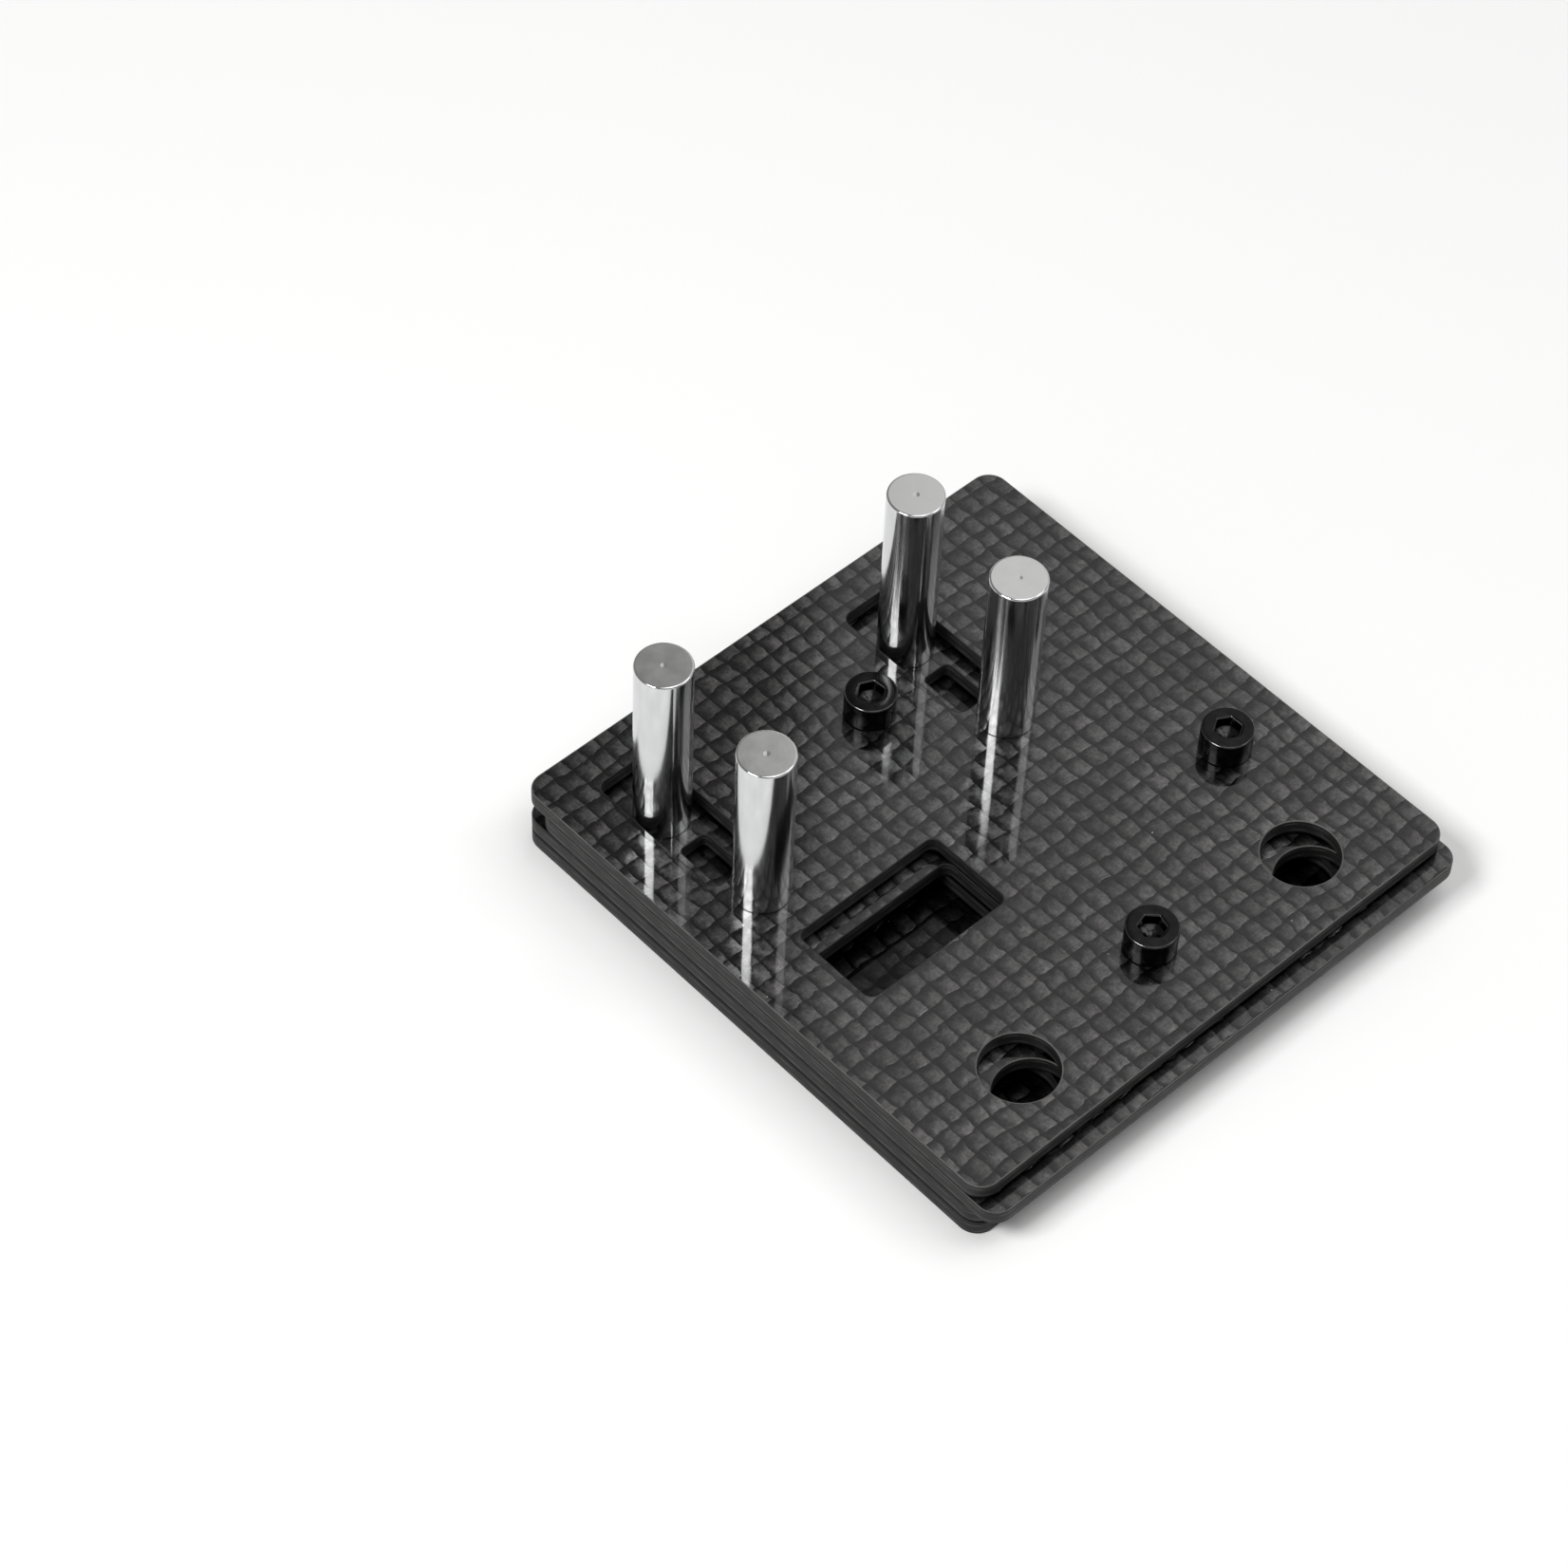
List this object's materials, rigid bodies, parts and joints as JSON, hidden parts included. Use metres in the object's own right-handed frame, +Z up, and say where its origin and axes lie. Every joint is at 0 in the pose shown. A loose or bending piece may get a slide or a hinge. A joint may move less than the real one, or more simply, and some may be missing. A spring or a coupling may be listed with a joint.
{
  "type": "soldering stand",
  "caption": "Square carbon-fibre plate stack with a sliding clamp plate, upright steel posts, plug window and pin holes, for resting an iron and holding small work while soldering.",
  "frame": {"origin": "centre of the base plate's underside, on the bench", "axes": "+Z up; +X is the way the clamp plate slides to close; +Y runs along the rows between the posts, towards the back"},
  "size_m": [0.0681, 0.0656, 0.0292],
  "materials": {
    "carbon_laminate": "plain-woven carbon-fibre laminate, clear glossy faces, dull machined edges",
    "polished_steel": "polished ground steel",
    "black_oxide_steel": "black oxide, slightly glossy",
    "zinc_steel": "bright zinc plate"
  },
  "bodies": {
    "frame": {"base_plate": "carbon_laminate", "guide_plate": "carbon_laminate", "top_plate": "carbon_laminate", "fixed_post_front": "polished_steel", "fixed_post_back": "polished_steel", "fixed_post_screw_front": "black_oxide_steel", "fixed_post_screw_back": "black_oxide_steel", "clamp_nut_left": "zinc_steel", "clamp_nut_back": "zinc_steel", "clamp_nut_right": "zinc_steel"},
    "slide": {"clamp_plate": "carbon_laminate", "riding_post_front": "polished_steel", "riding_post_back": "polished_steel", "riding_post_screw_front": "black_oxide_steel", "riding_post_screw_back": "black_oxide_steel"},
    "screw_left": {"clamp_screw_left": "black_oxide_steel"},
    "screw_back": {"clamp_screw_back": "black_oxide_steel"},
    "screw_right": {"clamp_screw_right": "black_oxide_steel"}
  },
  "joints": [
    {"name": "clamp_slide", "type": "slide", "parent": "frame", "child": "slide", "axis": [1, 0, 0], "range_m": [-0.0021, 0.0069]},
    {"name": "clamp_screw_left_turn", "type": "hinge", "parent": "frame", "child": "screw_left", "pos_m": [-0.017, 0.0001, 0.00805], "axis": [0, 0, 1], "range_deg": [0, 720]},
    {"name": "clamp_screw_back_turn", "type": "hinge", "parent": "frame", "child": "screw_back", "pos_m": [0.0103, 0.0239, 0.00805], "axis": [0, 0, 1], "range_deg": [0, 720]},
    {"name": "clamp_screw_right_turn", "type": "hinge", "parent": "frame", "child": "screw_right", "pos_m": [0.0229, 0.0002, 0.00805], "axis": [0, 0, 1], "range_deg": [0, 720]}
  ]
}
